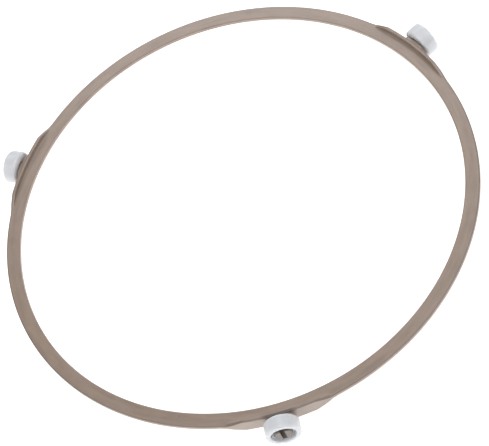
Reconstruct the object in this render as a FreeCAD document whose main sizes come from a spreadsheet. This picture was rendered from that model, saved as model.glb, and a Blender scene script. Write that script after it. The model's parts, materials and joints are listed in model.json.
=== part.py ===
import FreeCAD, Part
import math
import os
import Sketcher

# Microwave roller ring: one moulded ring and three rollers that spin on its split snap pins.
# Millimetres, +Z up. The origin is on the ring's axis, on the floor that the rollers run on.

SIZES = {
    # Ring: a flat band with rounded edges, at the height of the roller axes
    "ring_diameter": "200",
    "band_width": "6",
    "band_thickness": "1.8",
    "band_edge_radius": "0.6",
    # Lug: the wall behind each roller, which stands above and below the band and tapers at both ends
    "lug_flat_length": "28.5",
    "lug_taper_length": "8",
    "lug_height": "6.7",
    "lug_tip_height": "0.8",
    "lug_face_offset": "0.45",
    "lug_wall": "1.4",
    "lug_edge_radius": "0.35",
    # Cove: the hollow rounding at the foot of a lug's inner face, which starts just inside the band
    "cove_radius": "0.8",
    "cove_sink": "0.05",
    # Boss: the rounded thrust pad in the middle of each lug
    "boss_width": "11",
    "boss_height": "6.2",
    "boss_corner_radius": "2.4",
    "boss_depth": "0.95",
    # Pin: a shaft with a blunt nose and barbs, split by a slot that is deep above and a nick below
    "pin_diameter": "5.8",
    "barb_height": "0.85",
    "barb_length": "1",
    "lead_in_length": "0.6",
    "nose_diameter": "6.6",
    "slot_width": "1.8",
    "slot_floor": "2.8",
    "slot_nick": "0.4",
    # Roller: a plain tread with a wide recess in which the barbs sit
    "roller_diameter": "14",
    "roller_length": "5.8",
    "roller_edge_radius": "0.6",
    "recess_depth": "2",
    "recess_mouth": "0.25",
    "bore_lead_in": "0.4",
    # Clearances between the ring and a roller
    "bore_clearance": "0.08",
    "recess_clearance": "1.25",
    "thrust_clearance": "0.6",
    "barb_clearance": "0.2",
}

# Direction of each roller around the ring, in degrees from +X
ROLLER_ANGLES = {"roller_front": -90.0, "roller_right": 30.0, "roller_left": 150.0}

# Heights and radii about the ring's axis
RING_RADIUS = "Sizes.ring_diameter / 2"
BAND_INNER_RADIUS = RING_RADIUS + " - Sizes.band_width"
AXLE_HEIGHT = "Sizes.roller_diameter / 2"
BAND_BOTTOM = AXLE_HEIGHT + " - Sizes.band_thickness / 2"
BAND_TOP = AXLE_HEIGHT + " + Sizes.band_thickness / 2"
LUG_OUTER_RADIUS = RING_RADIUS + " + Sizes.lug_face_offset"
LUG_INNER_RADIUS = LUG_OUTER_RADIUS + " - Sizes.lug_wall"

# Stations along a pin, measured from the ring's axis
LUG_MIDDLE = LUG_OUTER_RADIUS + " - Sizes.lug_wall / 2"
THRUST_FACE = LUG_OUTER_RADIUS + " + Sizes.boss_depth"
SLOT_FLOOR = THRUST_FACE + " + Sizes.slot_floor"
ROLLER_INNER_FACE = THRUST_FACE + " + Sizes.thrust_clearance"
ROLLER_OUTER_FACE = ROLLER_INNER_FACE + " + Sizes.roller_length"
RECESS_FLOOR = ROLLER_OUTER_FACE + " - Sizes.recess_depth"
BARB_SHOULDER = RECESS_FLOOR + " + Sizes.barb_clearance"
LEAD_IN_START = BARB_SHOULDER + " + Sizes.barb_length"
PIN_TIP = LEAD_IN_START + " + Sizes.lead_in_length"

# Radii about a pin's axis
PIN_RADIUS = "Sizes.pin_diameter / 2"
NOSE_RADIUS = "Sizes.nose_diameter / 2"
BARB_RADIUS = PIN_RADIUS + " + Sizes.barb_height"
BORE_RADIUS = PIN_RADIUS + " + Sizes.bore_clearance"
RECESS_RADIUS = BARB_RADIUS + " + Sizes.recess_clearance"
ROLLER_RADIUS = "Sizes.roller_diameter / 2"

# Half sizes of a lug and its boss, seen from outside the ring
LUG_FLAT_END = "Sizes.lug_flat_length / 2"
LUG_TIP = LUG_FLAT_END + " + Sizes.lug_taper_length"
LUG_RISE = "Sizes.lug_height / 2"
LUG_TIP_RISE = "Sizes.lug_tip_height / 2"
BOSS_SIDE = "Sizes.boss_width / 2"
BOSS_RISE = "Sizes.boss_height / 2"
COVE_START = "Sizes.band_thickness / 2 - Sizes.cove_sink"

# Ends of a slot: past the pin's top, at its underside, past its tip and where its slanting floor ends
SLOT_TOP = BARB_RADIUS + " + Sizes.slot_width"
SLOT_BOTTOM = f"-({BARB_RADIUS})"
SLOT_MOUTH = PIN_TIP + " + Sizes.slot_width"
SLOT_NICK = PIN_TIP + " - Sizes.slot_nick"

# The block that a lug is cut from spans these distances from the ring's axis
LUG_BLOCK_START = f"sqrt(({LUG_INNER_RADIUS}) ^ 2 - ({LUG_TIP}) ^ 2) - Sizes.lug_wall"
LUG_BLOCK_END = LUG_OUTER_RADIUS + " + Sizes.lug_wall"

# How a sketch numbers a curve's points, and its own horizontal axis, which starts at the origin
START_INDEX = 1
END_INDEX = 2
CENTRE_INDEX = 3
H_AXIS_INDEX = -1
ORIGIN = (H_AXIS_INDEX, START_INDEX)

TOLERANCE = 1e-6
FULL_TURN = 360.0

doc = FreeCAD.newDocument("RollerRing")
sheet = doc.addObject("Spreadsheet::Sheet", "Sizes")
for row, (alias, size) in enumerate(SIZES.items(), start=1):
    sheet.set(f"A{row}", alias)
    sheet.set(f"B{row}", size)
    sheet.setAlias(f"B{row}", alias)
doc.recompute()


def value(expression):
    """The number that an expression on the sheet's sizes gives."""
    return float(sheet.evalExpression(expression))


def origin_feature(body, role):
    """One of a body's own origin planes or axes."""
    return next(item for item in body.Origin.OriginFeatures if item.Role == role)


def new_body(label):
    """An empty body that carries a piece's name."""
    body = doc.addObject("PartDesign::Body", label)
    body.Label = label
    body.AllowCompound = True
    return body


def new_sketch(body, plane, name):
    """A sketch on one of a body's origin planes."""
    sketch = body.newObject("Sketcher::SketchObject", name)
    sketch.AttachmentSupport = [(origin_feature(body, plane), "")]
    sketch.MapMode = "FlatFace"
    return sketch


def dimension(sketch, kind, first, second, expression):
    """Binds a distance between two sketch points to an expression."""
    number = value(expression)
    if number < 0.0:
        first, second = second, first
        expression = f"-({expression})"
    index = sketch.addConstraint(Sketcher.Constraint(kind, *first, *second, abs(number)))
    sketch.setExpression(f"Constraints[{index}]", expression)


def place_point(sketch, point, x_expression, y_expression):
    """Fixes a sketch point by its distances from the sketch's origin."""
    dimension(sketch, "DistanceX", ORIGIN, point, x_expression)
    if y_expression == "0":
        sketch.addConstraint(Sketcher.Constraint("PointOnObject", *point, H_AXIS_INDEX))
    else:
        dimension(sketch, "DistanceY", ORIGIN, point, y_expression)


def add_lines(sketch, corners):
    """Straight lines through corners, joined end to end, without dimensions."""
    points = [FreeCAD.Vector(value(x), value(y), 0.0) for x, y in corners]
    lines = [sketch.addGeometry(Part.LineSegment(a, b)) for a, b in zip(points, points[1:])]
    for line, following in zip(lines, lines[1:]):
        sketch.addConstraint(Sketcher.Constraint("Coincident", line, END_INDEX, following, START_INDEX))
    return lines


def add_polygon(sketch, corners):
    """A closed outline with every corner dimensioned from the sketch's origin."""
    lines = add_lines(sketch, corners + corners[:1])
    sketch.addConstraint(Sketcher.Constraint("Coincident", lines[-1], END_INDEX, lines[0], START_INDEX))
    for line, (x, y) in zip(lines, corners):
        place_point(sketch, (line, START_INDEX), x, y)


def add_rounded_rectangle(sketch, left, right, bottom, top, radius):
    """A rectangle with four equal corner arcs, dimensioned from the sketch's origin."""
    x_left, x_right, y_bottom, y_top = (value(side) for side in (left, right, bottom, top))
    r = value(radius)
    sides = (
        ((x_left + r, y_bottom), (x_right - r, y_bottom)),
        ((x_right, y_bottom + r), (x_right, y_top - r)),
        ((x_right - r, y_top), (x_left + r, y_top)),
        ((x_left, y_top - r), (x_left, y_bottom + r)),
    )
    centres = (
        (x_right - r, y_bottom + r),
        (x_right - r, y_top - r),
        (x_left + r, y_top - r),
        (x_left + r, y_bottom + r),
    )
    lines = []
    for start, end in sides:
        segment = Part.LineSegment(FreeCAD.Vector(*start, 0.0), FreeCAD.Vector(*end, 0.0))
        lines.append(sketch.addGeometry(segment))
    arcs = []
    for quarter, centre in enumerate(centres):
        circle = Part.Circle(FreeCAD.Vector(*centre, 0.0), FreeCAD.Vector(0, 0, 1), r)
        start_angle = (quarter - 1) * math.pi / 2
        arcs.append(sketch.addGeometry(Part.ArcOfCircle(circle, start_angle, start_angle + math.pi / 2)))
    for index, arc in enumerate(arcs):
        following = lines[(index + 1) % len(lines)]
        sketch.addConstraint(Sketcher.Constraint("Tangent", lines[index], END_INDEX, arc, START_INDEX))
        sketch.addConstraint(Sketcher.Constraint("Tangent", arc, END_INDEX, following, START_INDEX))
    for arc in arcs[1:]:
        sketch.addConstraint(Sketcher.Constraint("Equal", arcs[0], arc))
    for line, direction in zip(lines, ("Horizontal", "Vertical", "Horizontal", "Vertical")):
        sketch.addConstraint(Sketcher.Constraint(direction, line))
    index = sketch.addConstraint(Sketcher.Constraint("Radius", arcs[0], r))
    sketch.setExpression(f"Constraints[{index}]", radius)
    dimension(sketch, "DistanceY", ORIGIN, (lines[0], START_INDEX), bottom)
    dimension(sketch, "DistanceX", ORIGIN, (lines[1], START_INDEX), right)
    dimension(sketch, "DistanceY", ORIGIN, (lines[2], START_INDEX), top)
    dimension(sketch, "DistanceX", ORIGIN, (lines[3], START_INDEX), left)


def add_circle(sketch, radius):
    """A circle about the sketch's origin with its radius bound to an expression."""
    number = value(radius)
    centre = FreeCAD.Vector(0, 0, 0)
    circle = sketch.addGeometry(Part.Circle(centre, FreeCAD.Vector(0, 0, 1), number))
    sketch.addConstraint(Sketcher.Constraint("Coincident", circle, CENTRE_INDEX, *ORIGIN))
    index = sketch.addConstraint(Sketcher.Constraint("Radius", circle, number))
    sketch.setExpression(f"Constraints[{index}]", radius)


def add_coved_outline(sketch, side):
    """The space inside a lug's inner face and its cove, above (side 1) or below (side -1) the band."""
    near = f"{LUG_BLOCK_START} - Sizes.lug_wall"
    cove_start = f"{LUG_INNER_RADIUS} - Sizes.cove_radius"
    level = f"{AXLE_HEIGHT} + {side} * ({COVE_START})"
    face_start = f"{level} + {side} * Sizes.cove_radius"
    far_level = f"{AXLE_HEIGHT} + {side} * Sizes.lug_height"
    corners = [(LUG_INNER_RADIUS, far_level), (near, far_level), (near, level)]
    lines = add_lines(sketch, [(LUG_INNER_RADIUS, face_start), *corners, (cove_start, level)])
    centre = FreeCAD.Vector(value(cove_start), value(face_start), 0.0)
    circle = Part.Circle(centre, FreeCAD.Vector(0, 0, 1), value("Sizes.cove_radius"))
    start_angle = min(-side, 0) * math.pi / 2
    arc = sketch.addGeometry(Part.ArcOfCircle(circle, start_angle, start_angle + math.pi / 2))
    band_end, face_end = (START_INDEX, END_INDEX) if side > 0 else (END_INDEX, START_INDEX)
    sketch.addConstraint(Sketcher.Constraint("Tangent", lines[-1], END_INDEX, arc, band_end))
    sketch.addConstraint(Sketcher.Constraint("Tangent", arc, face_end, lines[0], START_INDEX))
    sketch.addConstraint(Sketcher.Constraint("Vertical", lines[0]))
    sketch.addConstraint(Sketcher.Constraint("Horizontal", lines[-1]))
    index = sketch.addConstraint(Sketcher.Constraint("Radius", arc, value("Sizes.cove_radius")))
    sketch.setExpression(f"Constraints[{index}]", "Sizes.cove_radius")
    for line, (x, y) in zip(lines[1:], corners):
        place_point(sketch, (line, START_INDEX), x, y)


def cut_both_ways(body, sketch, name, width=None):
    """Cuts a sketch's outline to both sides of the sketch: through the body, or over a given width."""
    before = body.Tip.Shape.Volume
    feature = body.newObject("PartDesign::Pocket", name)
    feature.Profile = sketch
    feature.SideType = "Symmetric"
    if width:
        feature.setExpression("Length", width)
    else:
        feature.Type = "ThroughAll"
    doc.recompute()
    if feature.Shape.Volume > before - TOLERANCE:
        raise RuntimeError(f"{name} cuts nothing")
    return feature


def revolve(body, sketch, axis, name, kind="PartDesign::Revolution"):
    """A full turn of a profile about one of its sketch's axes, added to the body or cut from it."""
    feature = body.newObject(kind, name)
    feature.Profile = sketch
    feature.ReferenceAxis = (sketch, [axis])
    feature.Angle = FULL_TURN
    doc.recompute()
    return feature


def round_edges(body, base, name, radius, edges):
    """Rounds given edges of the body's last feature."""
    names = []
    for index, edge in enumerate(base.Shape.Edges, start=1):
        if any(edge.isSame(chosen) for chosen in edges):
            names.append(f"Edge{index}")
    feature = body.newObject("PartDesign::Fillet", name)
    feature.Base = (base, names)
    feature.setExpression("Radius", f"Sizes.{radius}")
    doc.recompute()
    return feature


def edges_of_barrel(shape, radius):
    """The edges round every cylindrical face of a given radius."""
    edges = []
    for face in shape.Faces:
        if isinstance(face.Surface, Part.Cylinder) and abs(face.Surface.Radius - radius) < TOLERANCE:
            edges += face.Edges
    return edges


def make_lug(body):
    """A lug: an outline as seen from outside the ring, cut to a wall that follows the ring."""
    outline = new_sketch(body, "YZ_Plane", "LugOutline")
    outline.setExpression("AttachmentOffset.Base.y", AXLE_HEIGHT)
    outline.setExpression("AttachmentOffset.Base.z", LUG_BLOCK_START)
    add_polygon(outline, [
        (f"-({LUG_TIP})", f"-({LUG_TIP_RISE})"),
        (f"-({LUG_FLAT_END})", f"-({LUG_RISE})"),
        (LUG_FLAT_END, f"-({LUG_RISE})"),
        (LUG_TIP, f"-({LUG_TIP_RISE})"),
        (LUG_TIP, LUG_TIP_RISE),
        (LUG_FLAT_END, LUG_RISE),
        (f"-({LUG_FLAT_END})", LUG_RISE),
        (f"-({LUG_TIP})", LUG_TIP_RISE),
    ])
    block = body.newObject("PartDesign::Pad", "LugBlock")
    block.Profile = outline
    block.setExpression("Length", f"{LUG_BLOCK_END} - ({LUG_BLOCK_START})")
    doc.recompute()

    inside = new_sketch(body, "XZ_Plane", "LugInside")
    for side in (1, -1):
        add_coved_outline(inside, side)
    revolve(body, inside, "V_Axis", "LugInnerFace", "PartDesign::Groove")
    outside = new_sketch(body, "XY_Plane", "LugOutside")
    add_circle(outside, LUG_OUTER_RADIUS)
    add_circle(outside, f"{LUG_BLOCK_END} + {LUG_TIP}")
    lug = cut_both_ways(body, outside, "LugOuterFace")
    edges = edges_of_barrel(lug.Shape, value(LUG_OUTER_RADIUS))
    return round_edges(body, lug, "LugEdges", "lug_edge_radius", edges)


def make_pin(body):
    """A boss and a pin with barbs on a lug, split from above by a slot into two fingers."""
    pad_outline = new_sketch(body, "YZ_Plane", "BossOutline")
    pad_outline.setExpression("AttachmentOffset.Base.y", AXLE_HEIGHT)
    pad_outline.setExpression("AttachmentOffset.Base.z", LUG_MIDDLE)
    add_rounded_rectangle(
        pad_outline, f"-({BOSS_SIDE})", BOSS_SIDE, f"-({BOSS_RISE})", BOSS_RISE, "Sizes.boss_corner_radius"
    )
    boss = body.newObject("PartDesign::Pad", "Boss")
    boss.Profile = pad_outline
    boss.setExpression("Length", f"{THRUST_FACE} - ({LUG_MIDDLE})")
    doc.recompute()

    profile = new_sketch(body, "XZ_Plane", "PinProfile")
    profile.setExpression("AttachmentOffset.Base.y", AXLE_HEIGHT)
    add_polygon(profile, [
        (LUG_MIDDLE, "0"),
        (LUG_MIDDLE, PIN_RADIUS),
        (BARB_SHOULDER, PIN_RADIUS),
        (BARB_SHOULDER, BARB_RADIUS),
        (LEAD_IN_START, BARB_RADIUS),
        (PIN_TIP, NOSE_RADIUS),
        (PIN_TIP, "0"),
    ])
    revolve(body, profile, "H_Axis", "Pin")
    opening = new_sketch(body, "XZ_Plane", "SlotOutline")
    opening.setExpression("AttachmentOffset.Base.y", AXLE_HEIGHT)
    add_polygon(opening, [
        (SLOT_FLOOR, "0"),
        (SLOT_NICK, SLOT_BOTTOM),
        (SLOT_MOUTH, SLOT_BOTTOM),
        (SLOT_MOUTH, SLOT_TOP),
        (SLOT_FLOOR, SLOT_TOP),
    ])
    return cut_both_ways(body, opening, "Slot", "Sizes.slot_width")


def make_ring():
    """The ring's moulding: a lug with its pin, repeated round a flat band."""
    body = new_body("ring")
    make_lug(body)
    make_pin(body)
    pattern = body.newObject("PartDesign::PolarPattern", "Lugs")
    pattern.TransformMode = "Whole shape"
    pattern.Axis = (origin_feature(body, "Z_Axis"), [""])
    pattern.Angle = FULL_TURN
    pattern.Occurrences = len(ROLLER_ANGLES)
    body.Tip = pattern
    doc.recompute()

    section = new_sketch(body, "XZ_Plane", "BandSection")
    add_rounded_rectangle(
        section, BAND_INNER_RADIUS, RING_RADIUS, BAND_BOTTOM, BAND_TOP, "Sizes.band_edge_radius"
    )
    body.Tip = revolve(body, section, "V_Axis", "Band")
    body.Placement = FreeCAD.Placement(
        FreeCAD.Vector(0, 0, 0), FreeCAD.Rotation(FreeCAD.Vector(0, 0, 1), ROLLER_ANGLES["roller_front"])
    )
    return body


def make_roller(label, direction):
    """One roller: bored for its pin, with a recess for the barbs in its outer face."""
    body = new_body(label)
    profile = new_sketch(body, "XZ_Plane", f"{label}_profile")
    add_polygon(profile, [
        (ROLLER_INNER_FACE, BORE_RADIUS + " + Sizes.bore_lead_in"),
        (ROLLER_INNER_FACE, ROLLER_RADIUS),
        (ROLLER_OUTER_FACE, ROLLER_RADIUS),
        (ROLLER_OUTER_FACE, RECESS_RADIUS + " + Sizes.recess_mouth"),
        (ROLLER_OUTER_FACE + " - Sizes.recess_mouth", RECESS_RADIUS),
        (RECESS_FLOOR, RECESS_RADIUS),
        (RECESS_FLOOR, BORE_RADIUS),
        (ROLLER_INNER_FACE + " + Sizes.bore_lead_in", BORE_RADIUS),
    ])
    wheel = revolve(body, profile, "H_Axis", f"{label}_wheel")
    rims = [edge for edge in edges_of_barrel(wheel.Shape, value(ROLLER_RADIUS)) if edge.Closed]
    body.Tip = round_edges(body, wheel, f"{label}_tread_edges", "roller_edge_radius", rims)
    body.Placement = FreeCAD.Placement(
        FreeCAD.Vector(0, 0, 0), FreeCAD.Rotation(FreeCAD.Vector(0, 0, 1), direction)
    )
    body.setExpression("Placement.Base.z", AXLE_HEIGHT)
    return body


pieces = [make_ring()]
pieces += [make_roller(label, direction) for label, direction in ROLLER_ANGLES.items()]
doc.recompute()

for item in doc.Objects:
    if "Invalid" in item.State or "Error" in item.State:
        raise RuntimeError(f"{item.Label} did not build: {item.State}")
for piece in pieces:
    if piece.Shape.isNull() or not piece.Shape.isValid() or len(piece.Shape.Solids) != 1:
        raise RuntimeError(f"{piece.Label} is not one valid solid")

os.makedirs("parts", exist_ok=True)
for piece in pieces:
    piece.Shape.exportStep(f"parts/{piece.Label}.step")
    box = piece.Shape.BoundBox
    print(
        f"{piece.Label}: {piece.Shape.Volume:.1f} mm3, "
        f"{box.XLength:.2f} x {box.YLength:.2f} x {box.ZLength:.2f} mm, z from {box.ZMin:.2f}"
    )
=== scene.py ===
"""Looks of a microwave roller ring: a moulded taupe ring and the white rollers that spin on its split pins.

The shared frame is in metres with +Z up, and the ring's axis is its Z axis. Fields that end in _mm are in
millimetres, as a maker would write them.
"""

import json
import logging
import math
from dataclasses import dataclass
from enum import Enum
from typing import Any, List, Mapping, Optional, Sequence, Tuple, Union

import bpy
from mathutils import Matrix, Vector


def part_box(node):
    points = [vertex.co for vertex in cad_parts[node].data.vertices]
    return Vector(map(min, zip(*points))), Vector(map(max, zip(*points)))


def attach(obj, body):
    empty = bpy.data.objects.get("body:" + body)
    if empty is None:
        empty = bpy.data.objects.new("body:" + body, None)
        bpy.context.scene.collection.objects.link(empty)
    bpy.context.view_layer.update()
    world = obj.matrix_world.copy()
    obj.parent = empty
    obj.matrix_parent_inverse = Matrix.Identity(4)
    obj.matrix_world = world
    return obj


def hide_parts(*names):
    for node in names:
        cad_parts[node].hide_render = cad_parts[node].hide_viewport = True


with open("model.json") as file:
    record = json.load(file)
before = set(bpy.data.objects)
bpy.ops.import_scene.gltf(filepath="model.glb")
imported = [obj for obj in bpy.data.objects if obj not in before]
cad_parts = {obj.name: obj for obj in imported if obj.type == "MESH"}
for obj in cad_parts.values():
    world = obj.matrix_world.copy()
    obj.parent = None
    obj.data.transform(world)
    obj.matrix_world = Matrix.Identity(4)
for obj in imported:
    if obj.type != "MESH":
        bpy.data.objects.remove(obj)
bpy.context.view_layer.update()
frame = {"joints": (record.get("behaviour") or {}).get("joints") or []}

LOG = logging.getLogger("roller_ring")
MM = 0.001

Colour = Tuple[float, float, float]
Point2 = Tuple[float, float]
Span = Tuple[float, float]
Corner = Tuple[float, float, float]
Operand = Union["Wire", float]

WHITE: Colour = (1.0, 1.0, 1.0)
NOISE_ROUGHNESS = 0.55
NOISE_MIDDLE = 0.5
SHARP_ANGLE_DEG = 32.0

# Points on the flat of a lug's inner wall and on the flat of its crest
WALL_POINTS = 2
RIDGE_POINTS = 2


def opaque(colour: Colour) -> Tuple[float, float, float, float]:
    """A colour as a socket takes it."""
    return (*colour, 1.0)


class Station(Enum):
    """Where a roller stands on the ring, with the names of its node, body and joint in the frame."""

    FRONT = "roller_front"
    RIGHT = "roller_right"
    LEFT = "roller_left"

    @property
    def joint(self) -> Mapping[str, Any]:
        """The hinge that this roller spins on, as the frame states it."""
        return next(joint for joint in frame["joints"] if joint["child"] == self.value)

    @property
    def direction(self) -> float:
        """The angle of the roller's axle about the ring's axis, in radians from +X."""
        axis = self.joint["axis"]
        return math.atan2(axis[1], axis[0])


class Slot(Enum):
    """The record's material slots."""

    RING = "ring_plastic"
    ROLLER = "roller_plastic"


# Node trees


class Wire:
    """A node's output socket that can be written in arithmetic; each operation adds one Math node."""

    def __init__(self, graph: "Graph", socket: bpy.types.NodeSocket) -> None:
        """Wraps a socket of a graph's tree."""
        self.graph = graph
        self.socket = socket

    def math(self, operation: str, *others: Operand) -> "Wire":
        """A Math node with this value as its first input."""
        return self.graph.math(operation, self, *others)

    def __add__(self, other: Operand) -> "Wire":
        """This value plus another."""
        return self.math("ADD", other)

    __radd__ = __add__

    def __mul__(self, other: Operand) -> "Wire":
        """This value times another."""
        return self.math("MULTIPLY", other)

    __rmul__ = __mul__

    def __sub__(self, other: Operand) -> "Wire":
        """This value less another."""
        return self.math("SUBTRACT", other)

    def __rsub__(self, other: Operand) -> "Wire":
        """Another value less this one."""
        return self.graph.math("SUBTRACT", other, self)

    def __truediv__(self, other: Operand) -> "Wire":
        """This value divided by another."""
        return self.math("DIVIDE", other)

    def __rtruediv__(self, other: Operand) -> "Wire":
        """Another value divided by this one."""
        return self.graph.math("DIVIDE", other, self)

    def __neg__(self) -> "Wire":
        """This value with its sign turned."""
        return self.math("MULTIPLY", -1.0)

    def __abs__(self) -> "Wire":
        """This value without its sign."""
        return self.math("ABSOLUTE")


class Graph:
    """A shader or geometry tree under construction."""

    def __init__(self, tree: bpy.types.NodeTree) -> None:
        """Takes the tree that nodes are added to."""
        self.tree = tree

    def node(
        self,
        kind: str,
        settings: Optional[Mapping[str, Any]] = None,
        inputs: Optional[Mapping[Union[str, int], Any]] = None,
    ) -> bpy.types.Node:
        """Adds a node.

        Args:
            kind: The node's type.
            settings: Its properties, set before its sockets.
            inputs: A value, a wire or a list of wires for each named or numbered input.

        Returns:
            The new node.
        """
        made = self.tree.nodes.new(kind)
        for name, value in (settings or {}).items():
            setattr(made, name, value)
        for key, value in (inputs or {}).items():
            target = self._find(made.inputs, key)
            for item in value if isinstance(value, list) else [value]:
                if isinstance(item, Wire):
                    self.tree.links.new(item.socket, target)
                else:
                    target.default_value = item
        return made

    def wire(
        self,
        kind: str,
        settings: Optional[Mapping[str, Any]] = None,
        inputs: Optional[Mapping[Union[str, int], Any]] = None,
        output: Union[str, int, None] = None,
    ) -> Wire:
        """Adds a node and takes one of its outputs.

        Args:
            kind: The node's type.
            settings: As for node().
            inputs: As for node().
            output: The output's name or number, or None for the first one in use.

        Returns:
            The output, ready for arithmetic or for another node's input.
        """
        made = self.node(kind, settings, inputs)
        if output is None:
            return Wire(self, next(socket for socket in made.outputs if socket.enabled))
        return Wire(self, self._find(made.outputs, output))

    def math(self, operation: str, *operands: Operand) -> Wire:
        """A Math node on values or wires."""
        return self.wire("ShaderNodeMath", {"operation": operation}, dict(enumerate(operands)))

    def vector(self, x: Operand, y: Operand, z: Operand) -> Wire:
        """A vector from three values."""
        return self.wire("ShaderNodeCombineXYZ", None, {"X": x, "Y": y, "Z": z})

    def parts(self, vector: Wire) -> Tuple[Wire, Wire, Wire]:
        """The three values of a vector."""
        made = self.node("ShaderNodeSeparateXYZ", None, {"Vector": vector})
        return tuple(Wire(self, socket) for socket in made.outputs)

    def fade(self, value: Operand, start: Operand, end: Operand, curve: str = "LINEAR") -> Wire:
        """A fade from 0 where a value is at start to 1 where it is at end, held beyond them."""
        return self.wire(
            "ShaderNodeMapRange",
            {"clamp": True, "interpolation_type": curve},
            {"Value": value, "From Min": start, "From Max": end},
        )

    def noise(self, place: Wire, scale: float, detail: float) -> Wire:
        """Even noise from 0 to 1."""
        return self.wire(
            "ShaderNodeTexNoise",
            None,
            {"Vector": place, "Scale": scale, "Detail": detail, "Roughness": NOISE_ROUGHNESS},
        )

    def blend(self, first: Any, second: Any, share: Operand) -> Wire:
        """A mix of two colours, second by its share."""
        return self.wire("ShaderNodeMix", {"data_type": "RGBA"}, {"A": first, "B": second, "Factor": share})

    @staticmethod
    def _find(sockets: Any, key: Union[str, int]) -> bpy.types.NodeSocket:
        """A socket by its number, or the one in use that has a name."""
        if isinstance(key, int):
            return sockets[key]
        return next(socket for socket in sockets if socket.name == key and socket.enabled)


class GeometryGraph(Graph):
    """A Geometry Nodes tree with named inputs."""

    def __init__(self, name: str, sizes: Mapping[str, Any]) -> None:
        """Makes the tree.

        Args:
            name: The tree's name.
            sizes: Each named input with its value: a number, a whole number, an object or a material.
        """
        super().__init__(bpy.data.node_groups.new(name, "GeometryNodeTree"))
        self.sizes = dict(sizes)
        panel = self.tree.interface
        panel.new_socket("Geometry", in_out="INPUT", socket_type="NodeSocketGeometry")
        panel.new_socket("Geometry", in_out="OUTPUT", socket_type="NodeSocketGeometry")
        for label, value in self.sizes.items():
            panel.new_socket(label, in_out="INPUT", socket_type=self._socket_type(value))
        self._inputs = self.tree.nodes.new("NodeGroupInput")
        self._output = self.tree.nodes.new("NodeGroupOutput")

    def __getitem__(self, label: str) -> Wire:
        """One of the tree's own inputs."""
        return Wire(self, self._inputs.outputs[label])

    def finish(self, geometry: Wire) -> None:
        """Sends a geometry to the tree's output."""
        self.tree.links.new(geometry.socket, self._output.inputs["Geometry"])

    def dress(self, geometry: Wire, finish: Wire) -> None:
        """Shades a mesh smooth, except over sharp edges, gives it its finish and ends the tree.

        Args:
            geometry: The whole mesh.
            finish: Its material.
        """
        turn = self.wire("GeometryNodeInputMeshEdgeAngle", output="Unsigned Angle")
        gentle = turn.math("LESS_THAN", math.radians(SHARP_ANGLE_DEG))
        rounded = self.wire(
            "GeometryNodeSetShadeSmooth", {"domain": "FACE"}, {"Geometry": geometry, "Shade Smooth": True}
        )
        smooth = self.wire(
            "GeometryNodeSetShadeSmooth", {"domain": "EDGE"}, {"Geometry": rounded, "Shade Smooth": gentle}
        )
        whole = self.wire("GeometryNodeRealizeInstances", None, {"Geometry": smooth})
        self.finish(self.wire("GeometryNodeSetMaterial", None, {"Geometry": whole, "Material": finish}))

    def run(self, source: bpy.types.Object, name: str, **changes: Any) -> bpy.types.Object:
        """Runs the tree on an object, and gives the result as a plain mesh.

        Args:
            source: The object that the tree reads; it is used up.
            name: The name of the new piece.
            changes: Values for some of the named inputs, in place of the tree's own.

        Returns:
            A mesh object at the origin, without modifiers.
        """
        modifier = source.modifiers.new(name, "NODES")
        modifier.node_group = self.tree
        values = {**self.sizes, **changes}
        for item in self.tree.interface.items_tree:
            if item.in_out == "INPUT" and item.name in values:
                modifier[item.identifier] = values[item.name]
        evaluated = source.evaluated_get(bpy.context.evaluated_depsgraph_get())
        mesh = bpy.data.meshes.new_from_object(evaluated)
        source.modifiers.remove(modifier)
        bpy.data.objects.remove(source)
        mesh.name = name
        piece = bpy.data.objects.new(name, mesh)
        bpy.context.scene.collection.objects.link(piece)
        return piece

    @staticmethod
    def _socket_type(value: Any) -> str:
        """The socket that carries a Python value."""
        kinds = {int: "Int", float: "Float", bpy.types.Object: "Object", bpy.types.Material: "Material"}
        return "NodeSocket" + next(word for kind, word in kinds.items() if isinstance(value, kind))


# Finishes


def new_surface(name: str) -> Tuple[bpy.types.Material, Graph, bpy.types.Node]:
    """An empty node material.

    Args:
        name: The material's name.

    Returns:
        The material, its tree and its main shader, which is linked to the output.
    """
    material = bpy.data.materials.new(name)
    material.use_nodes = True
    graph = Graph(material.node_tree)
    material.node_tree.nodes.clear()
    shader = graph.node("ShaderNodeBsdfPrincipled")
    graph.node("ShaderNodeOutputMaterial", None, {"Surface": Wire(graph, shader.outputs["BSDF"])})
    return material, graph, shader


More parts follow.
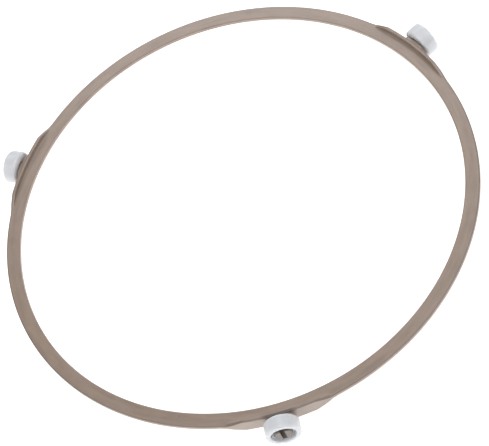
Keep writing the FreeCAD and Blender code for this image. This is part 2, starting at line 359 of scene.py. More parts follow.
@dataclass(frozen=True)
class TaupePlastic:
    """The ring's satin moulded plastic, with the marks of flow round the mould and its parting line, painted
    shade on its edges, lug feet and pins, and a painted shadow behind the front roller.
    """

    colour: Colour = (0.364, 0.253, 0.186)
    flow_colour: Colour = (0.258, 0.176, 0.127)
    bloom_colour: Colour = (0.368, 0.264, 0.200)
    # Painted shade on the pins: they darken from their pads outwards, where they stand in the rollers' bores
    # and recesses.
    pin_shade_colour: Colour = (0.128, 0.102, 0.083)
    pin_shade_share: float = 0.80
    pin_shade_start_mm: float = 101.6
    pin_shade_end_mm: float = 103.0
    # Painted shade on the band's rounded edges and in the coves at the lugs' feet.
    edge_colour: Colour = (0.150, 0.112, 0.090)
    edge_share: float = 0.85
    gloss: float = 1.0
    refraction: float = 1.6
    roughness: float = 0.36
    roughness_spread: float = 0.10
    skin: float = 0.5
    skin_roughness: float = 0.30
    flow_turns: float = 7.0
    flow_lines_per_mm: float = 0.55
    flow_detail: float = 3.0
    flow_fade: Span = (0.35, 0.75)
    bloom_mm: float = 9.0
    bloom_detail: float = 4.0
    bloom_fade: Span = (0.45, 0.85)
    grain_mm: float = 0.30
    grain_detail: float = 2.0
    grain_depth_mm: float = 0.006
    gate_mm: Tuple[float, float, float] = (-38.3, -88.1, 7.9)
    gate_radius_mm: float = 0.7
    gate_core: float = 0.3
    gate_share: float = 0.32
    gate_depth_mm: float = 0.04
    # Painted shadow of the front roller on the lug's crest behind it.
    roller_shadow_colour: Colour = (0.055, 0.036, 0.026)
    roller_shadow_share: float = 0.85
    roller_shadow_reach_mm: Span = (97.9, 99.6)
    roller_shadow_half_width_mm: Span = (4.8, 7.4)
    roller_shadow_height_mm: Span = (9.2, 10.2)
    parting_height_mm: float = 7.0
    parting_width_mm: float = 0.14
    parting_depth_mm: float = 0.03

    def material(self) -> bpy.types.Material:
        """The finish as a node material."""
        material, graph, shader = new_surface("taupe_moulded_plastic")
        shader.inputs["Specular IOR Level"].default_value = self.gloss
        shader.inputs["IOR"].default_value = self.refraction
        shader.inputs["Coat Roughness"].default_value = self.skin_roughness
        shader.inputs["Coat IOR"].default_value = self.refraction
        place = graph.wire("ShaderNodeTexCoord", output="Object")
        x, y, z = graph.parts(place)
        reach = graph.math("SQRT", x * x + y * y)
        flow_place = graph.vector(
            x / reach * self.flow_turns,
            y / reach * self.flow_turns,
            reach * (self.flow_lines_per_mm / MM),
        )
        flow = graph.noise(flow_place, 1.0, self.flow_detail)
        bloom = graph.noise(place, 1.0 / (self.bloom_mm * MM), self.bloom_detail)
        grain = graph.noise(place, 1.0 / (self.grain_mm * MM), self.grain_detail)

        streaks = graph.fade(flow, *self.flow_fade)
        streaked = graph.blend(opaque(self.colour), opaque(self.flow_colour), streaks)
        bloomed = graph.blend(streaked, opaque(self.bloom_colour), graph.fade(bloom, *self.bloom_fade))
        # Painted shade: the pins darken from their pads outwards into the rollers.
        painted_shade = graph.fade(reach, self.pin_shade_start_mm * MM, self.pin_shade_end_mm * MM)
        pin_shaded = graph.blend(bloomed, opaque(self.pin_shade_colour), painted_shade * self.pin_shade_share)
        # Painted shade: the band's rounded edges and the coves at the lugs' feet darken by the shares that
        # the section's points carry, joined with the gate's real dark dimple.
        edge = graph.wire("ShaderNodeAttribute", {"attribute_name": "edge_wear"}, output="Fac")
        dimple = self._gate(graph, place)
        dark = graph.math("MAXIMUM", edge * self.edge_share, dimple * self.gate_share)
        edged = graph.blend(pin_shaded, opaque(self.edge_colour), dark)
        # Painted shadow: the front roller's shadow darkens the crest behind it.
        roller_shadow = self._roller_shadow(graph, x, y, z)
        colour = graph.blend(edged, opaque(self.roller_shadow_colour), roller_shadow)
        graph.tree.links.new(colour.socket, shader.inputs["Base Color"])

        skin = self.skin * (1.0 - painted_shade) * (1.0 - roller_shadow)
        graph.tree.links.new(skin.socket, shader.inputs["Coat Weight"])

        blotches = self.roughness_spread * (bloom - NOISE_MIDDLE)
        specks = self.roughness_spread * (grain - NOISE_MIDDLE)
        rough = self.roughness + blotches + specks
        graph.tree.links.new(rough.socket, shader.inputs["Roughness"])

        off_line = abs(z - self.parting_height_mm * MM)
        ridge = 1.0 - graph.fade(off_line, 0.0, self.parting_width_mm * MM / 2)
        marks = ridge * self.parting_depth_mm - dimple * self.gate_depth_mm
        height = grain * self.grain_depth_mm + marks
        bump = graph.wire("ShaderNodeBump", None, {"Strength": 1.0, "Distance": MM, "Height": height})
        graph.tree.links.new(bump.socket, shader.inputs["Normal"])
        return material

    def _gate(self, graph: Graph, place: Wire) -> Wire:
        """How much of the gate's small dimple lies at a place on the ring, from 0 to 1."""
        gate = tuple(value * MM for value in self.gate_mm)
        away = graph.wire(
            "ShaderNodeVectorMath", {"operation": "DISTANCE"}, {0: place, 1: gate}, output="Value"
        )
        radius = self.gate_radius_mm * MM
        return 1.0 - graph.fade(away, self.gate_core * radius, radius)

    def _roller_shadow(self, graph: Graph, x: Wire, y: Wire, z: Wire) -> Wire:
        """How much painted shadow of the front roller lies on the crest behind it.

        Args:
            graph: The finish's tree.
            x: The place on the ring, across the front roller's pin.
            y: The place along that pin, which points to -Y.
            z: The height.

        Returns:
            A share that grows towards the roller and fades beside it.
        """
        along = graph.fade(-y, *(value * MM for value in self.roller_shadow_reach_mm))
        beside = graph.fade(abs(x), *(value * MM for value in self.roller_shadow_half_width_mm))
        above = graph.fade(z, *(value * MM for value in self.roller_shadow_height_mm))
        return along * (1.0 - beside) * above * self.roller_shadow_share


@dataclass(frozen=True)
class WhitePlastic:
    """The rollers' cool white plastic, with faint turned rings on their end faces and tread."""

    colour: Colour = (0.780, 0.798, 0.828)
    shade_colour: Colour = (0.730, 0.748, 0.778)
    gloss: float = 1.0
    refraction: float = 1.6
    roughness: float = 0.36
    roughness_spread: float = 0.12
    mottle_mm: float = 2.6
    mottle_detail: float = 4.0
    mottle_fade: Span = (0.40, 0.80)
    grain_mm: float = 0.22
    grain_detail: float = 2.0
    grain_depth_mm: float = 0.004
    ring_pitch_mm: float = 0.42
    ring_depth_mm: float = 0.004
    milkiness: float = 1.0
    scatter_mm: float = 2.5

    def material(self) -> bpy.types.Material:
        """The finish as a node material."""
        material, graph, shader = new_surface("cool_white_plastic")
        shader.inputs["Specular IOR Level"].default_value = self.gloss
        shader.inputs["IOR"].default_value = self.refraction
        shader.inputs["Subsurface Weight"].default_value = self.milkiness
        shader.inputs["Subsurface Radius"].default_value = WHITE
        shader.inputs["Subsurface Scale"].default_value = self.scatter_mm * MM
        place = graph.wire("ShaderNodeTexCoord", output="Object")
        mottle = graph.noise(place, 1.0 / (self.mottle_mm * MM), self.mottle_detail)
        grain = graph.noise(place, 1.0 / (self.grain_mm * MM), self.grain_detail)
        shade = graph.fade(mottle, *self.mottle_fade)
        colour = graph.blend(opaque(self.colour), opaque(self.shade_colour), shade)
        graph.tree.links.new(colour.socket, shader.inputs["Base Color"])
        rough = self.roughness + self.roughness_spread * (mottle - NOISE_MIDDLE)
        graph.tree.links.new(rough.socket, shader.inputs["Roughness"])
        reach = graph.wire("ShaderNodeAttribute", {"attribute_name": "axle_reach"}, output="Fac")
        turn = 2.0 * math.pi / (self.ring_pitch_mm * MM)
        rings = (reach * turn).math("SINE") * (self.ring_depth_mm / 2)
        height = rings + grain * self.grain_depth_mm
        bump = graph.wire("ShaderNodeBump", None, {"Strength": 1.0, "Distance": MM, "Height": height})
        graph.tree.links.new(bump.socket, shader.inputs["Normal"])
        return material


@dataclass(frozen=True)
class FloorPaint:
    """The studio's plain white floor."""

    colour: Colour = (0.90, 0.90, 0.90)
    roughness: float = 0.75
    glow: float = 0.70

    def material(self) -> bpy.types.Material:
        """The finish as a node material."""
        material, _, shader = new_surface("white_floor")
        shader.inputs["Base Color"].default_value = opaque(self.colour)
        shader.inputs["Roughness"].default_value = self.roughness
        shader.inputs["Emission Color"].default_value = opaque(WHITE)
        shader.inputs["Emission Strength"].default_value = self.glow
        return material


# Pieces


def outline_object(
    name: str, points: Sequence[Point2], closed: bool, values: Mapping[str, Sequence[Any]]
) -> bpy.types.Object:
    """An outline in a plane, as a chain of edges that a tree sweeps or turns.

    Args:
        name: The object's name.
        points: The outline's points, in metres.
        closed: Whether the last point joins the first.
        values: Named numbers or vectors for each point.

    Returns:
        The object, linked to the scene.
    """
    count = len(points)
    edges = [(index, (index + 1) % count) for index in range(count if closed else count - 1)]
    mesh = bpy.data.meshes.new(name)
    mesh.from_pydata([(x, y, 0.0) for x, y in points], edges, [])
    for label, column in values.items():
        is_vector = isinstance(column[0], (tuple, list))
        attribute = mesh.attributes.new(label, "FLOAT_VECTOR" if is_vector else "FLOAT", "POINT")
        for item, value in zip(attribute.data, column):
            if is_vector:
                item.vector = value
            else:
                item.value = value
    outline = bpy.data.objects.new(name, mesh)
    bpy.context.scene.collection.objects.link(outline)
    return outline


def arc(centre: Point2, radius: float, start: float, end: float, steps: int) -> List[Point2]:
    """Points along a circular arc.

    Args:
        centre: The arc's centre.
        radius: Its radius.
        start: Its first angle, in degrees from the first axis.
        end: Its last angle.
        steps: The number of chords.

    Returns:
        steps + 1 points.
    """
    angles = [math.radians(start + (end - start) * step / steps) for step in range(steps + 1)]
    return [(centre[0] + radius * math.cos(a), centre[1] + radius * math.sin(a)) for a in angles]


@dataclass
class TurnedPiece:
    """A piece turned about its own axle.

    Each corner of its outline is a distance along the axle, a reach from the axle and a rounding.
    """

    name: str
    corners_mm: Sequence[Corner]
    closed: bool
    segments: int = 144
    rounding_steps: int = 6
    support_mm: float = 0.08
    support_limit: float = 0.49
    weld_mm: float = 0.002

    def graph(self, tree_name: str, sizes: Mapping[str, Any]) -> Tuple[GeometryGraph, Wire]:
        """A tree that rounds the outline's corners and turns it about +X.

        Args:
            tree_name: The tree's name.
            sizes: Further named inputs.

        Returns:
            The tree, and the turned mesh in it.
        """
        graph = GeometryGraph(
            tree_name, {"Segments": self.segments, "Rounding Steps": self.rounding_steps, **sizes}
        )
        outline = graph.wire("GeometryNodeMeshToCurve", None, {"Mesh": graph["Geometry"]})
        rounding = graph.wire("GeometryNodeInputNamedAttribute", {"data_type": "FLOAT"}, {"Name": "rounding"})
        rounded = graph.wire(
            "GeometryNodeFilletCurve",
            {"mode": "POLY"},
            {"Curve": outline, "Count": graph["Rounding Steps"], "Radius": rounding, "Limit Radius": True},
        )
        path = graph.wire(
            "GeometryNodeCurvePrimitiveCircle",
            {"mode": "RADIUS"},
            {"Resolution": graph["Segments"], "Radius": self._path_radius()},
        )
        upright = graph.wire("GeometryNodeSetCurveNormal", {"mode": "Z_UP"}, {"Curve": path})
        turned = graph.wire("GeometryNodeCurveToMesh", None, {"Curve": upright, "Profile Curve": rounded})
        merged = graph.wire(
            "GeometryNodeMergeByDistance", None, {"Geometry": turned, "Distance": self.weld_mm * MM}
        )
        place = graph.wire("GeometryNodeInputPosition")
        x, y, _ = graph.parts(place)
        reach = graph.math("SQRT", x * x + y * y)
        marked = graph.wire(
            "GeometryNodeStoreNamedAttribute",
            {"data_type": "FLOAT", "domain": "POINT"},
            {"Geometry": merged, "Name": "axle_reach", "Value": reach},
        )
        laid = graph.wire(
            "GeometryNodeTransform", None, {"Geometry": marked, "Rotation": (0.0, math.pi / 2, 0.0)}
        )
        return graph, laid

    def outline(self) -> bpy.types.Object:
        """A new outline for the tree to turn, with the rounding of each corner."""
        corners = self._supported_corners()
        points = [(reach * MM - self._path_radius(), -along * MM) for along, reach, _ in corners]
        rounding = [corner[2] * MM for corner in corners]
        return outline_object(f"{self.name}_outline", points, self.closed, {"rounding": rounding})

    def _supported_corners(self) -> List[Corner]:
        """The corners, with a plain point on each side of a rounding to keep the faces beside it flat."""
        supported = []
        for index, (along, reach, rounding) in enumerate(self.corners_mm):
            if not rounding:
                supported.append((along, reach, 0.0))
                continue
            middle = Vector((along, reach))
            before = Vector(self.corners_mm[index - 1][:2]) - middle
            after = Vector(self.corners_mm[(index + 1) % len(self.corners_mm)][:2]) - middle
            away = rounding / math.tan(before.angle(after) / 2) + self.support_mm
            first = middle + before.normalized() * min(away, self.support_limit * before.length)
            last = middle + after.normalized() * min(away, self.support_limit * after.length)
            supported += [(*first, 0.0), (along, reach, rounding), (*last, 0.0)]
        return supported

    def _path_radius(self) -> float:
        """The radius of the circle that the outline is carried round, which changes nothing in the result."""
        return max(reach for _, reach, _ in self.corners_mm) * MM


@dataclass
class Rollers:
    """The white rollers, all alike: a plain tread, a bore for the pin and a wide recess in the outer face."""

    bore_radius_mm: float = 2.98
    bore_lead_in_mm: float = 0.4
    bore_rounding_mm: float = 0.05
    recess_radius_mm: float = 5.0
    recess_depth_mm: float = 2.0
    recess_rounding_mm: float = 0.3
    mouth_mm: float = 0.25
    mouth_rounding_mm: float = 0.25
    tread_rounding_mm: float = 0.8

    def build(self, finish: WhitePlastic) -> List[bpy.types.Object]:
        """Turns the rollers and stands each on its pin.

        Args:
            finish: Their surface.

        Returns:
            The finished pieces, each riding on its own body.
        """
        piece = self._turned()
        graph = self._graph(piece, finish)
        wheels = []
        for station in Station:
            name = f"{station.value}_wheel"
            wheel = graph.run(piece.outline(), name, Direction=station.direction)
            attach(wheel, station.value)
            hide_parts(station.value)
            wheels.append(wheel)
        return wheels

    def _turned(self) -> TurnedPiece:
        """A roller's outline, from its inner to its outer face."""
        inner, outer, radius = self._measure()
        recess_floor = outer - self.recess_depth_mm
        return TurnedPiece(
            name="roller",
            closed=True,
            corners_mm=[
                (outer, self.recess_radius_mm + self.mouth_mm, self.mouth_rounding_mm),
                (outer, radius, self.tread_rounding_mm),
                (inner, radius, self.tread_rounding_mm),
                (inner, self.bore_radius_mm + self.bore_lead_in_mm, 0.0),
                (inner + self.bore_lead_in_mm, self.bore_radius_mm, 0.0),
                (recess_floor, self.bore_radius_mm, self.bore_rounding_mm),
                (recess_floor, self.recess_radius_mm, self.recess_rounding_mm),
                (outer - self.mouth_mm, self.recess_radius_mm, self.mouth_rounding_mm),
            ],
        )

    def _graph(self, piece: TurnedPiece, finish: WhitePlastic) -> GeometryGraph:
        """The tree that turns a roller and stands it on a pin.

        Args:
            piece: The roller's outline.
            finish: Its surface.

        Returns:
            The tree, whose Direction input says which pin.
        """
        sizes = {
            "Axle Height": float(Station.FRONT.joint["pos_m"][2]),
            "Direction": Station.FRONT.direction,
            "Finish": finish.material(),
        }
        graph, turned = piece.graph("Turned roller", sizes)
        place = graph.vector(0.0, 0.0, graph["Axle Height"])
        turn = graph.wire(
            "FunctionNodeEulerToRotation", None, {"Euler": graph.vector(0.0, 0.0, graph["Direction"])}
        )
        stood = graph.wire(
            "GeometryNodeTransform", None, {"Geometry": turned, "Translation": place, "Rotation": turn}
        )
        graph.dress(stood, graph["Finish"])
        return graph

    @staticmethod
    def _measure() -> Tuple[float, float, float]:
        """A roller's inner face, outer face and radius in the frame, in millimetres."""
        low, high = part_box(Station.FRONT.value)
        return -high.y / MM, -low.y / MM, (high.z - low.z) / (2 * MM)


@dataclass
class SplitPin:
    """A snap pin on its thrust pad: a barbed shaft, split by a slot that is deep above and a nick below."""

    root_mm: float = 99.75
    pad_face_mm: float = 101.4
    barb_shoulder_mm: float = 106.0
    barb_end_mm: float = 107.0
    tip_mm: float = 107.6
    slot_floor_mm: float = 104.2
    shaft_radius_mm: float = 2.9
    barb_radius_mm: float = 3.75
    nose_radius_mm: float = 3.3
    nose_rounding_mm: float = 0.25
    barb_rounding_mm: float = 0.2
    shoulder_rounding_mm: float = 0.05
    rounding_steps: int = 4
    slot_width_mm: float = 1.8
    slot_nick_mm: float = 0.4
    slot_height_mm: float = 11.25
    pad_width_mm: float = 11.0
    pad_height_mm: float = 6.2
    pad_rounding_mm: float = 2.4
    pad_rounding_steps: int = 12

    def build(self) -> bpy.types.Object:
        """One pin along +X, measured from its root."""
        piece = TurnedPiece(
            name="split_pin",
            closed=False,
            rounding_steps=self.rounding_steps,
            corners_mm=[
                (self.tip_mm - self.root_mm, 0.0, 0.0),
                (self.tip_mm - self.root_mm, self.nose_radius_mm, self.nose_rounding_mm),
                (self.barb_end_mm - self.root_mm, self.barb_radius_mm, self.barb_rounding_mm),
                (self.barb_shoulder_mm - self.root_mm, self.barb_radius_mm, self.shoulder_rounding_mm),
                (self.barb_shoulder_mm - self.root_mm, self.shaft_radius_mm, 0.0),
                (0.0, self.shaft_radius_mm, 0.0),
                (0.0, 0.0, 0.0),
            ],
        )
        slot_length = self.tip_mm - self.slot_floor_mm + self.slot_width_mm
        slant = (self.tip_mm - self.slot_nick_mm - self.slot_floor_mm) / self.barb_radius_mm
        sizes = {
            "Slot Width": self.slot_width_mm * MM,
            "Slot Length": slot_length * MM,
            "Slot Height": self.slot_height_mm * MM,
            "Slot Middle": (self.slot_floor_mm - self.root_mm + slot_length / 2) * MM,
            "Slot Slant": slant,
            "Pad Width": self.pad_width_mm * MM,
            "Pad Height": self.pad_height_mm * MM,
            "Pad Rounding": self.pad_rounding_mm * MM,
            "Pad Rounding Steps": self.pad_rounding_steps,
            "Pad Depth": (self.pad_face_mm - self.root_mm) * MM,
        }
        graph, turned = piece.graph("Split pin", sizes)
        joined = graph.wire(
            "GeometryNodeMeshBoolean",
            {"operation": "UNION", "solver": "EXACT"},
            {"Mesh": [self._split(graph, turned), self._pad(graph)]},
        )
        graph.finish(graph.wire("GeometryNodeRealizeInstances", None, {"Geometry": joined}))
        return graph.run(piece.outline(), piece.name)

    @staticmethod
    def _split(graph: GeometryGraph, turned: Wire) -> Wire:
        """The turned pin with its slot cut, whose floor slants from the block's middle row downwards."""
        size = graph.vector(graph["Slot Length"], graph["Slot Width"], graph["Slot Height"])
        rows = {"Size": size, "Vertices Z": 3}
        block = graph.wire("GeometryNodeMeshCube", None, rows, output="Mesh")
        x, _, z = graph.parts(graph.wire("GeometryNodeInputPosition"))
        inner = x.math("LESS_THAN", 0.0)
        slant = graph.vector(graph["Slot Slant"] * (-z).math("MAXIMUM", 0.0) * inner, 0.0, 0.0)
        slanted = graph.wire("GeometryNodeSetPosition", None, {"Geometry": block, "Offset": slant})
        placed = graph.wire(
            "GeometryNodeTransform",
            None,
            {"Geometry": slanted, "Translation": graph.vector(graph["Slot Middle"], 0.0, 0.0)},
        )
        return graph.wire(
            "GeometryNodeMeshBoolean",
            {"operation": "DIFFERENCE", "solver": "EXACT"},
            {"Mesh 1": turned, "Mesh 2": placed},
        )

    @staticmethod
    def _pad(graph: GeometryGraph) -> Wire:
        """The rounded thrust pad, carried from the pin's root to the face that the roller runs against."""
        outline = graph.wire(
            "GeometryNodeCurvePrimitiveQuadrilateral",
            {"mode": "RECTANGLE"},
            {"Width": graph["Pad Width"], "Height": graph["Pad Height"]},
        )
        rounded = graph.wire(
            "GeometryNodeFilletCurve",
            {"mode": "POLY"},
            {
                "Curve": outline,
                "Count": graph["Pad Rounding Steps"],
                "Radius": graph["Pad Rounding"],
                "Limit Radius": True,
            },
        )
        end = graph.vector(graph["Pad Depth"], 0.0, 0.0)
        path = graph.wire("GeometryNodeCurvePrimitiveLine", {"mode": "POINTS"}, {"End": end})
        upright = graph.wire("GeometryNodeSetCurveNormal", {"mode": "Z_UP"}, {"Curve": path})
        return graph.wire(
            "GeometryNodeCurveToMesh", None, {"Curve": upright, "Profile Curve": rounded, "Fill Caps": True}
        )


@dataclass
class RingMoulding:
    """The taupe ring: a flat band that swells into a lug behind each roller, with a split pin on each lug."""

    radius_mm: float = 100.0
    band_width_mm: float = 6.0
    band_thickness_mm: float = 1.8
    band_rounding_mm: float = 0.4
    lug_height_mm: float = 6.7
    lug_wall_mm: float = 1.4
    lug_swell_mm: float = 0.45
    lug_rounding_mm: float = 0.35
    lug_crest_rounding_mm: float = 0.35
    lug_foot_mm: float = 1.2
    lug_flat_mm: float = 28.5
    lug_taper_mm: float = 6.7
    swell_flat_mm: float = 37.0
    swell_taper_mm: float = 6.0
    stations: int = 900
    corner_steps: int = 6
    support_mm: float = 0.12
    # Shares of painted shade on the band's inner and outer edges, the outer shoulder, the underside and the
    # coves at the lugs' feet.
    inner_edge_shade: float = 0.15
    outer_edge_shade: float = 0.8
    shoulder_shade: float = 0.6
    underside_shade: float = 0.5
    foot_shade_share: float = 0.42
    same_point_mm: float = 0.02

    def build(self, pin: SplitPin, finish: TaupePlastic) -> bpy.types.Object:
        """Sweeps the band, raises its lugs and joins the pins to them.

        Args:
            pin: The pin that each lug carries.
            finish: The ring's surface.

        Returns:
            The finished piece, riding on the ring's body.
        """
        pin_object = pin.build()
        sizes = {
            "Ring Radius": self.radius_mm * MM,
            "Stations": self.stations,
            "Axle Height": float(Station.FRONT.joint["pos_m"][2]),
            "Lug Count": len(Station),
            "First Lug": Station.FRONT.direction,
            "Lug Flat": self.lug_flat_mm * MM,
            "Lug Taper": self.lug_taper_mm * MM,
            "Swell Flat": self.swell_flat_mm * MM,
            "Swell Taper": self.swell_taper_mm * MM,
            "Pin Root": pin.root_mm * MM,
            "Pin": pin_object,
            "Finish": finish.material(),
        }
        graph = GeometryGraph("Ring moulding", sizes)
        band = self._band(graph)
        pins = self._pins(graph)
        joined = graph.wire(
            "GeometryNodeMeshBoolean", {"operation": "UNION", "solver": "EXACT"}, {"Mesh": [band, pins]}
        )
        # The joined moulding keeps the band's painted shade on its points.
        painted_shade = self._carry_edge_shade(graph, band, joined)
        graph.dress(painted_shade, graph["Finish"])
        ring = graph.run(self._section(), "ring_moulding")
        bpy.data.objects.remove(pin_object)
        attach(ring, "ring")
        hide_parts("ring")
        return ring

    def _band(self, graph: GeometryGraph) -> Wire:
        """The swept band with its lugs raised by the shift that each point of the section carries."""
        section = graph.wire("GeometryNodeMeshToCurve", None, {"Mesh": graph["Geometry"]})
        path = graph.wire(
            "GeometryNodeCurvePrimitiveCircle",
            {"mode": "RADIUS"},
            {"Resolution": graph["Stations"], "Radius": graph["Ring Radius"]},
        )
        upright = graph.wire("GeometryNodeSetCurveNormal", {"mode": "Z_UP"}, {"Curve": path})
        swept = graph.wire("GeometryNodeCurveToMesh", None, {"Curve": upright, "Profile Curve": section})
        raised = graph.wire(
            "GeometryNodeTransform",
            None,
            {"Geometry": swept, "Translation": graph.vector(0.0, 0.0, graph["Axle Height"])},
        )
        x, y, _ = graph.parts(graph.wire("GeometryNodeInputPosition"))
        angle = graph.math("ARCTAN2", y, x)
        half_pitch = math.pi / graph["Lug Count"]
        off_lug = graph.math("WRAP", angle - graph["First Lug"], half_pitch, -half_pitch)
        aside = abs(off_lug.math("SINE") * graph["Ring Radius"])
        flat_end = graph["Lug Flat"] / 2.0
        rise = 1.0 - graph.fade(aside, flat_end, flat_end + graph["Lug Taper"])
        swell_end = graph["Swell Flat"] / 2.0
        swell = 1.0 - graph.fade(aside, swell_end, swell_end + graph["Swell Taper"], "SMOOTHSTEP")
        shift = graph.wire(
            "GeometryNodeInputNamedAttribute", {"data_type": "FLOAT_VECTOR"}, {"Name": "lug_shift"}
        )
        outward, upward, _ = graph.parts(shift)
        away = outward * swell
        offset = graph.vector(away * angle.math("COSINE"), away * angle.math("SINE"), upward * rise)
        shaped = graph.wire("GeometryNodeSetPosition", None, {"Geometry": raised, "Offset": offset})
        # Painted shade: the cove's share is added to the edges' share where a lug rises.
        edge, foot = (
            graph.wire("GeometryNodeInputNamedAttribute", {"data_type": "FLOAT"}, {"Name": name})
            for name in ("edge_wear", "foot_wear")
        )
        return graph.wire(
            "GeometryNodeStoreNamedAttribute",
            {"data_type": "FLOAT", "domain": "POINT"},
            {"Geometry": shaped, "Name": "edge_wear", "Value": edge + foot * rise},
        )

    def _carry_edge_shade(self, graph: GeometryGraph, band: Wire, joined: Wire) -> Wire:
        """The joined moulding with each of the band's points as darkened by painted shade as it was before
        the pins joined it.

        Args:
            graph: The ring's tree.
            band: The band alone, whose points carry their painted shade.
            joined: The band with its pins.

        Returns:
            The joined moulding, whose pins carry none of this painted shade.
        """
        place = graph.wire("GeometryNodeInputPosition")
        nearest = graph.wire("GeometryNodeSampleNearest", None, {"Geometry": band, "Sample Position": place})
        edge_shade_value = graph.wire("GeometryNodeInputNamedAttribute", {"data_type": "FLOAT"}, {"Name": "edge_wear"})
        found = graph.wire(
            "GeometryNodeSampleIndex",
            {"data_type": "FLOAT"},
            {"Geometry": band, "Value": edge_shade_value, "Index": nearest},
        )
        spot = graph.wire(
            "GeometryNodeSampleIndex",
            {"data_type": "FLOAT_VECTOR"},
            {"Geometry": band, "Value": place, "Index": nearest},
        )
        apart = graph.wire(
            "ShaderNodeVectorMath", {"operation": "DISTANCE"}, {0: place, 1: spot}, output="Value"
        )
        kept = found * apart.math("LESS_THAN", self.same_point_mm * MM)
        return graph.wire(
            "GeometryNodeStoreNamedAttribute",
            {"data_type": "FLOAT", "domain": "POINT"},
            {"Geometry": joined, "Name": "edge_wear", "Value": kept},
        )

    def _pins(self, graph: GeometryGraph) -> Wire:
        """The pins, one on each lug."""
        posts = graph.wire(
            "GeometryNodeMeshCircle", None, {"Vertices": graph["Lug Count"], "Radius": graph["Pin Root"]}
        )
        first = graph.wire(
            "FunctionNodeEulerToRotation", None, {"Euler": graph.vector(0.0, 0.0, graph["First Lug"])}
        )
        set_out = graph.wire(
            "GeometryNodeTransform",
            None,
            {
                "Geometry": posts,
                "Translation": graph.vector(0.0, 0.0, graph["Axle Height"]),
                "Rotation": first,
            },
        )
        x, y, _ = graph.parts(graph.wire("GeometryNodeInputPosition"))
        facing = graph.wire(
            "FunctionNodeEulerToRotation",
            None,
            {"Euler": graph.vector(0.0, 0.0, graph.math("ARCTAN2", y, x))},
        )
        pin = graph.wire("GeometryNodeObjectInfo", None, {"Object": graph["Pin"]}, output="Geometry")
        copies = graph.wire(
            "GeometryNodeInstanceOnPoints", None, {"Points": set_out, "Instance": pin, "Rotation": facing}
        )
        return graph.wire("GeometryNodeRealizeInstances", None, {"Geometry": copies})

    def _section(self) -> bpy.types.Object:
        """The band's section, whose points carry the shift that turns it into a lug's section."""
        plain, lug = self._plain_half(), self._lug_half()
        plain_loop = plain + [(reach, -height) for reach, height in reversed(plain)]
        lug_loop = lug + [(reach, -height) for reach, height in reversed(lug)]
        points = [((reach - self.radius_mm) * MM, -height * MM) for reach, height in plain_loop]
        shifts = [
            ((lug_reach - reach) * MM, (lug_height - height) * MM, 0.0)
            for (reach, height), (lug_reach, lug_height) in zip(plain_loop, lug_loop)
        ]
        upper = self._edge_wear(len(plain))
        edge_wear = upper + [self.underside_shade * value for value in reversed(upper)]
        foot = self._foot_wear(len(plain))
        values = {"lug_shift": shifts, "edge_wear": edge_wear, "foot_wear": foot + foot[::-1]}
        return outline_object("band_section", points, True, values)

    def _foot_wear(self, count: int) -> List[float]:
        """How much painted shade each point of the section's upper half takes where it stands in a lug's
        foot.

        Args:
            count: The number of points in the half.

        Returns:
            A share for each point, which grows along the foot and fades up the wall.
        """
        steps = self.corner_steps
        foot = [self.foot_shade_share * step / steps for step in range(steps + 1)]
        climb = steps + WALL_POINTS
        wall = [self.foot_shade_share * (1.0 - step / climb) for step in range(climb + 1)]
        before = len(self._inner_edge())
        return [0.0] * before + foot + wall + [0.0] * (count - before - len(foot) - len(wall))

    def _edge_wear(self, count: int) -> List[float]:
        """How much painted shade each point of the section's upper half takes: its first and last arcs are
        edges.

        Args:
            count: The number of points in the half.

        Returns:
            A share for each point, which is highest where an edge leaves the flat top.
        """
        fall = [1.0 - (step / self.corner_steps) ** 2 for step in range(self.corner_steps + 1)]
        inner = [0.0] + [self.inner_edge_shade * value for value in reversed(fall)]
        outer = [self.outer_edge_shade * value for value in (self.shoulder_shade, *fall, 0.0)]
        return inner + [0.0] * (count - len(inner) - len(outer)) + outer

    def _inner_edge(self) -> List[Point2]:
        """The upper half of the band's inner edge and its flat top as far as the lug's foot."""
        inner = self.radius_mm - self.band_width_mm
        top = self.band_thickness_mm / 2
        corner = (inner + self.band_rounding_mm, top - self.band_rounding_mm)
        rounded = arc(corner, self.band_rounding_mm, 180.0, 90.0, self.corner_steps)
        return [(inner, corner[1] - self.support_mm), *rounded, (corner[0] + self.support_mm, top)]

    def _wall_inside(self) -> float:
        """The reach of a lug's inner face, in millimetres."""
        return self.radius_mm + self.lug_swell_mm - self.lug_wall_mm

    def _plain_half(self) -> List[Point2]:
        """The upper half of the plain band, with as many points as a lug's."""
        top = self.band_thickness_mm / 2
        outer = self.radius_mm
        foot = self._wall_inside() - self.lug_foot_mm
        corner = (outer - self.band_rounding_mm, top - self.band_rounding_mm)
        run_end = corner[0] - self.support_mm
        last = 2 * (self.corner_steps + 1) + WALL_POINTS + RIDGE_POINTS - 1
        run = [(foot + (run_end - foot) * step / last, top) for step in range(last + 1)]
        rounded = arc(corner, self.band_rounding_mm, 90.0, 0.0, self.corner_steps)
        return [*self._inner_edge(), *run, *rounded, (outer, corner[1] - self.support_mm)]

    def _lug_half(self) -> List[Point2]:
        """The upper half of a lug's section: a concave foot, the inner wall, the crest and the outer edge."""
        top = self.band_thickness_mm / 2
        crest = self.lug_height_mm / 2
        inside = self._wall_inside()
        outside = inside + self.lug_wall_mm
        cove, inner, outer = self.lug_foot_mm, self.lug_crest_rounding_mm, self.lug_rounding_mm
        foot = arc((inside - cove, top + cove), cove, -90.0, 0.0, self.corner_steps)
        inner_crest = arc((inside + inner, crest - inner), inner, 180.0, 90.0, self.corner_steps)
        outer_crest = arc((outside - outer, crest - outer), outer, 90.0, 0.0, self.corner_steps)
        support = self.support_mm
        wall = [(inside, foot[-1][1] + support), (inside, inner_crest[0][1] - support)]
        ridge = [(inner_crest[-1][0] + support, crest), (outer_crest[0][0] - support, crest)]
        side = (outside, outer_crest[-1][1] - support)
        return [*self._inner_edge(), *foot, *wall, *inner_crest, *ridge, *outer_crest, side]


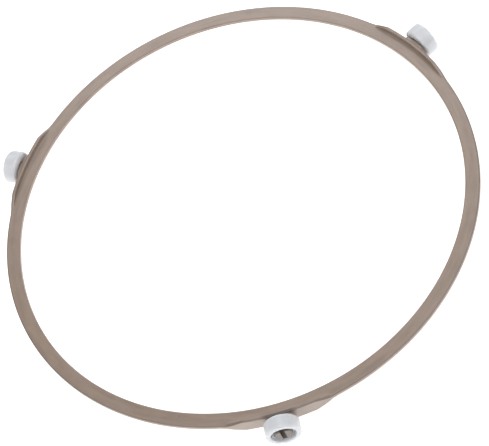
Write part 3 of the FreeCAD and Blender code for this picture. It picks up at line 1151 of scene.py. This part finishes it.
# Studio


@dataclass(frozen=True)
class SoftBox:
    """A square soft light that faces the ring; its distance and side are in metres, its power in watts."""

    name: str
    azimuth_deg: float
    elevation_deg: float
    distance: float
    side: float
    power: float
    colour: Colour = WHITE

    def build(self, target: Vector) -> bpy.types.Object:
        """Hangs the light.

        Args:
            target: The point that it faces.

        Returns:
            The light's object.
        """
        lamp = bpy.data.lights.new(self.name, "AREA")
        lamp.shape = "SQUARE"
        lamp.size = self.side
        lamp.energy = self.power
        lamp.color = self.colour
        away = direction_to(self.azimuth_deg, self.elevation_deg)
        light = bpy.data.objects.new(self.name, lamp)
        light.location = target + away * self.distance
        light.rotation_euler = (-away).to_track_quat("-Z", "Y").to_euler()
        bpy.context.scene.collection.objects.link(light)
        return light


def direction_to(azimuth_deg: float, elevation_deg: float) -> Vector:
    """The direction from the object to a viewer or light.

    Args:
        azimuth_deg: 0 in front of the object, at -Y, and 90 on its right, at +X.
        elevation_deg: The angle above the floor.

    Returns:
        A unit vector.
    """
    azimuth, elevation = math.radians(azimuth_deg), math.radians(elevation_deg)
    level = math.cos(elevation)
    return Vector((math.sin(azimuth) * level, -math.cos(azimuth) * level, math.sin(elevation)))


@dataclass
class Studio:
    """A pale floor, soft light all round and a camera at the photograph's angle, in metres."""

    floor: FloorPaint = FloorPaint()
    floor_side: float = 8.0
    sky_strength: float = 0.22
    lights: Tuple[SoftBox, ...] = (
        SoftBox("back_soft_box", 182.0, 40.0, 1.6, 0.9, 4.3),
        SoftBox("overhead_soft_box", 30.0, 84.0, 1.5, 1.2, 7.2),
        SoftBox("left_soft_box", -65.0, 38.0, 1.5, 1.2, 4.9),
        SoftBox("right_soft_box", 85.0, 38.0, 1.5, 1.2, 4.2),
    )
    camera_azimuth_deg: float = 13.286
    camera_elevation_deg: float = 54.731
    camera_roll_deg: float = -27.778
    camera_distance: float = 0.73158
    camera_lens_mm: float = 133.23
    camera_aim: Tuple[float, float, float] = (0.00177, -0.01064, 0.0079)

    def build(self) -> None:
        """Sets up the floor, the light and the camera."""
        self._build_floor()
        target = Vector((0.0, 0.0, Station.FRONT.joint["pos_m"][2]))
        for light in self.lights:
            light.build(target)
        world = bpy.data.worlds.new("soft_sky")
        world.use_nodes = True
        background = world.node_tree.nodes["Background"]
        background.inputs["Color"].default_value = opaque(WHITE)
        background.inputs["Strength"].default_value = self.sky_strength
        bpy.context.scene.world = world
        bpy.context.scene.view_settings.view_transform = "Standard"
        self._build_camera()

    def _build_floor(self) -> None:
        """A plain floor under the rollers."""
        half = self.floor_side / 2
        mesh = bpy.data.meshes.new("floor")
        corners = [(-half, -half, 0.0), (half, -half, 0.0), (half, half, 0.0), (-half, half, 0.0)]
        mesh.from_pydata(corners, [], [(0, 1, 2, 3)])
        mesh.materials.append(self.floor.material())
        floor = bpy.data.objects.new("floor", mesh)
        bpy.context.scene.collection.objects.link(floor)

    def _build_camera(self) -> None:
        """A long lens above the front of the ring, rolled as the photograph is."""
        data = bpy.data.cameras.new("photo_camera")
        data.lens = self.camera_lens_mm
        away = direction_to(self.camera_azimuth_deg, self.camera_elevation_deg)
        level = (-away).to_track_quat("-Z", "Y").to_matrix()
        roll = Matrix.Rotation(math.radians(self.camera_roll_deg), 3, "Z")
        camera = bpy.data.objects.new("photo_camera", data)
        camera.location = Vector(self.camera_aim) + away * self.camera_distance
        camera.rotation_euler = (level @ roll).to_euler()
        bpy.context.scene.collection.objects.link(camera)
        bpy.context.scene.camera = camera


def report(piece: bpy.types.Object) -> None:
    """Logs a piece's name and size."""
    triangles = sum(len(face.vertices) - 2 for face in piece.data.polygons)
    LOG.info("%s: %d triangles", piece.name, triangles)


def main() -> None:
    """Builds the pieces and the studio."""
    logging.basicConfig(level=logging.INFO)
    Studio().build()
    report(RingMoulding().build(SplitPin(), TaupePlastic()))
    for wheel in Rollers().build(WhitePlastic()):
        report(wheel)


if __name__ == "__main__":
    main()
